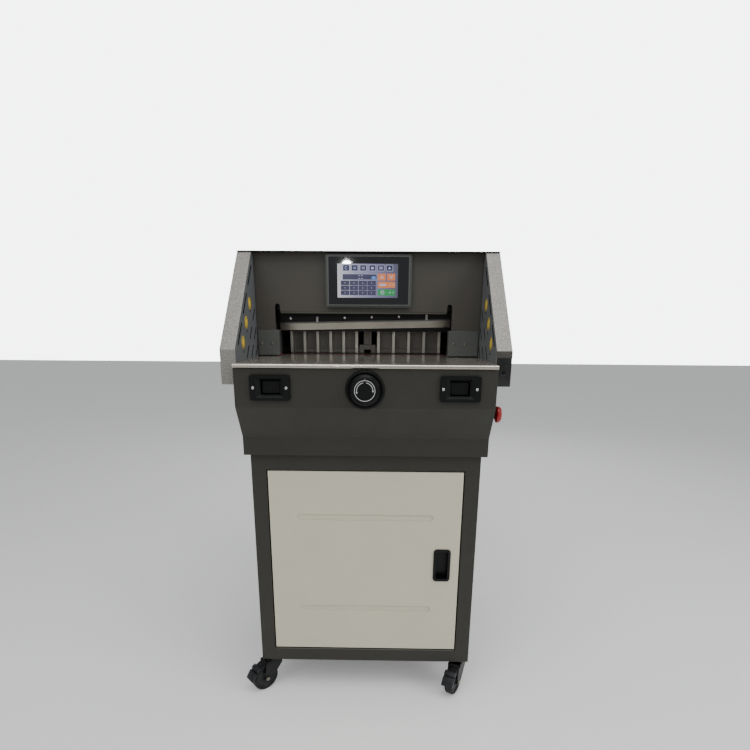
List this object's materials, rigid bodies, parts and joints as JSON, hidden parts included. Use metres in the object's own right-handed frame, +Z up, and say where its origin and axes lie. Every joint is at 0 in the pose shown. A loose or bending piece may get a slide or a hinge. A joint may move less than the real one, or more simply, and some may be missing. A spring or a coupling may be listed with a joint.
{
  "type": "automatic paper guillotine",
  "caption": "Electric paper guillotine on a wheeled cabinet, with a steel table between slotted safety wings, an inclined knife, a clamp, a comb-shaped back gauge and a touch display.",
  "frame": {"origin": "on the floor, under the middle of the whole machine", "axes": "+Z up, -Y towards the operator, +X to the operator's right"},
  "size_m": [0.677, 0.917, 1.192],
  "materials": {
    "body_grey": "satin dark grey paint",
    "door_cream": "semi-gloss light grey-cream paint",
    "hammertone_grey": "hammertone grey paint",
    "wing_grey": "satin mid grey paint",
    "guide_grey": "satin grey paint",
    "polished_steel": "polished, finely ribbed",
    "machined_steel": "machined, lightly oiled",
    "blade_steel": "ground knife steel",
    "cast_grey": "painted casting",
    "black_steel": "blackened steel",
    "black_plastic": "fine-grained black",
    "tyre_black": "hard black rubber",
    "red_plastic": "glossy red",
    "stick_red": "dark red plastic",
    "screen_glass": "dark glossy touch glass",
    "aluminium": "anodised"
  },
  "bodies": {
    "machine": {"cabinet_shell": "body_grey", "cabinet_back_panel": "body_grey", "door_hinge": "machined_steel", "caster_front_left_plate": "black_steel", "caster_front_right_plate": "black_steel", "caster_rear_left_bracket": "black_steel", "caster_rear_right_bracket": "black_steel", "front_housing": "body_grey", "button_housing_left": "black_plastic", "button_housing_right": "black_plastic", "dial_bezel": "black_plastic", "estop_collar": "black_plastic", "front_table": "polished_steel", "rear_table": "machined_steel", "cutting_stick": "stick_red", "machine_bed": "cast_grey", "side_frame_left": "cast_grey", "side_frame_right": "cast_grey", "guide_beam": "cast_grey", "top_bridge": "cast_grey", "knife_motor": "cast_grey", "clamp_motor": "cast_grey", "gauge_motor": "black_steel", "wing_cover_left": "hammertone_grey", "wing_cover_right": "hammertone_grey", "wing_plate_left": "wing_grey", "wing_plate_right": "wing_grey", "light_curtain_left": "aluminium", "light_curtain_right": "aluminium", "head_cover": "body_grey", "display_bezel": "guide_grey", "touch_screen": "screen_glass", "guide_cover_left": "guide_grey", "guide_cover_right": "guide_grey", "rear_cover": "body_grey", "control_box": "aluminium"},
    "door": {"door_panel": "door_cream", "door_handle_cup": "black_plastic"},
    "fork_left": {"caster_front_left_fork": "black_steel"},
    "front_wheel_left": {"caster_front_left_wheel": "tyre_black"},
    "brake_left": {"caster_front_left_brake": "black_plastic"},
    "fork_right": {"caster_front_right_fork": "black_steel"},
    "front_wheel_right": {"caster_front_right_wheel": "tyre_black"},
    "brake_right": {"caster_front_right_brake": "black_plastic"},
    "rear_wheel_left": {"caster_rear_left_wheel": "tyre_black"},
    "rear_wheel_right": {"caster_rear_right_wheel": "tyre_black"},
    "cut_button_left": {"cut_button_left": "black_plastic"},
    "cut_button_right": {"cut_button_right": "black_plastic"},
    "dial": {"dial_knob": "black_plastic"},
    "stop_stem": {"estop_stem": "black_plastic"},
    "stop_head": {"estop_head": "red_plastic"},
    "knife_yoke": {"knife_yoke": "black_steel"},
    "knife": {"knife_carrier": "black_steel", "knife_blade": "blade_steel"},
    "knife_screw": {"knife_screw": "machined_steel"},
    "clamp": {"clamp_beam": "black_steel"},
    "clamp_screw": {"clamp_screw": "machined_steel"},
    "back_gauge": {"back_gauge_comb": "machined_steel", "gauge_carriage": "machined_steel"},
    "gauge_screw": {"gauge_screw": "machined_steel"}
  },
  "joints": [
    {"name": "door_swing", "type": "hinge", "parent": "machine", "child": "door", "pos_m": [-0.242, -0.3675, 0.3975], "axis": [0, 0, -1], "range_deg": [0, 105]},
    {"name": "swivel_left", "type": "hinge", "parent": "machine", "child": "fork_left", "pos_m": [-0.266, -0.3435, 0.088], "axis": [0, 0, 1], "continuous": true},
    {"name": "front_wheel_left_roll", "type": "hinge", "parent": "fork_left", "child": "front_wheel_left", "pos_m": [-0.28829, -0.36357, 0.0375], "axis": [-0.6691, 0.7431, 0], "continuous": true},
    {"name": "brake_left_tilt", "type": "hinge", "parent": "fork_left", "child": "brake_left", "pos_m": [-0.28532, -0.3609, 0.0835], "axis": [-0.6691, 0.7431, 0], "range_deg": [0, 14]},
    {"name": "swivel_right", "type": "hinge", "parent": "machine", "child": "fork_right", "pos_m": [0.266, -0.3435, 0.088], "axis": [0, 0, 1], "continuous": true},
    {"name": "front_wheel_right_roll", "type": "hinge", "parent": "fork_right", "child": "front_wheel_right", "pos_m": [0.251, -0.36948, 0.0375], "axis": [-0.866, 0.5, 0], "continuous": true},
    {"name": "brake_right_tilt", "type": "hinge", "parent": "fork_right", "child": "brake_right", "pos_m": [0.253, -0.36602, 0.0835], "axis": [-0.866, 0.5, 0], "range_deg": [0, 14]},
    {"name": "rear_wheel_left_roll", "type": "hinge", "parent": "machine", "child": "rear_wheel_left", "pos_m": [-0.266, 0.1515, 0.0375], "axis": [1, 0, 0], "continuous": true},
    {"name": "rear_wheel_right_roll", "type": "hinge", "parent": "machine", "child": "rear_wheel_right", "pos_m": [0.266, 0.1515, 0.0375], "axis": [1, 0, 0], "continuous": true},
    {"name": "cut_button_left_press", "type": "slide", "parent": "machine", "child": "cut_button_left", "axis": [0, 1, 0], "range_m": [0, 0.004], "stiffness_N_per_m": 500, "springref_m": -0.002},
    {"name": "cut_button_right_press", "type": "slide", "parent": "machine", "child": "cut_button_right", "axis": [0, 1, 0], "range_m": [0, 0.004], "stiffness_N_per_m": 500, "springref_m": -0.002},
    {"name": "dial_turn", "type": "hinge", "parent": "machine", "child": "dial", "pos_m": [0, -0.4585, 0.8675], "axis": [0, 1, 0], "continuous": true},
    {"name": "stop_press", "type": "slide", "parent": "machine", "child": "stop_stem", "axis": [-1, 0, 0], "range_m": [0, 0.005]},
    {"name": "stop_twist", "type": "hinge", "parent": "stop_stem", "child": "stop_head", "pos_m": [0.313, -0.3815, 0.804], "axis": [1, 0, 0], "range_deg": [0, 45]},
    {"name": "knife_stroke", "type": "slide", "parent": "machine", "child": "knife_yoke", "axis": [0.1758, 0, -0.9844], "range_m": [0, 0.06826]},
    {"name": "knife_tilt", "type": "hinge", "parent": "knife_yoke", "child": "knife", "pos_m": [-0.24, -0.0935, 1.075], "axis": [0, 1, 0], "range_deg": [0, 1.35]},
    {"name": "knife_screw_turn", "type": "hinge", "parent": "machine", "child": "knife_screw", "pos_m": [-0.009, -0.1175, 0.81], "axis": [0.1758, 0, -0.9844], "continuous": true},
    {"name": "clamp_stroke", "type": "slide", "parent": "machine", "child": "clamp", "axis": [0, 0, -1], "range_m": [0, 0.064]},
    {"name": "clamp_screw_turn", "type": "hinge", "parent": "machine", "child": "clamp_screw", "pos_m": [-0.012, -0.0525, 1.15], "axis": [0, 0, -1], "continuous": true},
    {"name": "gauge_travel", "type": "slide", "parent": "machine", "child": "back_gauge", "axis": [0, 1, 0], "range_m": [-0.018, 0.399]},
    {"name": "gauge_screw_turn", "type": "hinge", "parent": "machine", "child": "gauge_screw", "pos_m": [-0.005, 0.1565, 0.825], "axis": [0, 1, 0], "continuous": true}
  ],
  "couplings": [
    {"joint": "knife_tilt", "follows": "knife_stroke", "rad_per_m": 0.34363},
    {"joint": "knife_screw_turn", "follows": "knife_stroke", "rad_per_m": 628.32},
    {"joint": "clamp_screw_turn", "follows": "clamp_stroke", "rad_per_m": 785.4},
    {"joint": "gauge_screw_turn", "follows": "gauge_travel", "rad_per_m": 628.32}
  ]
}
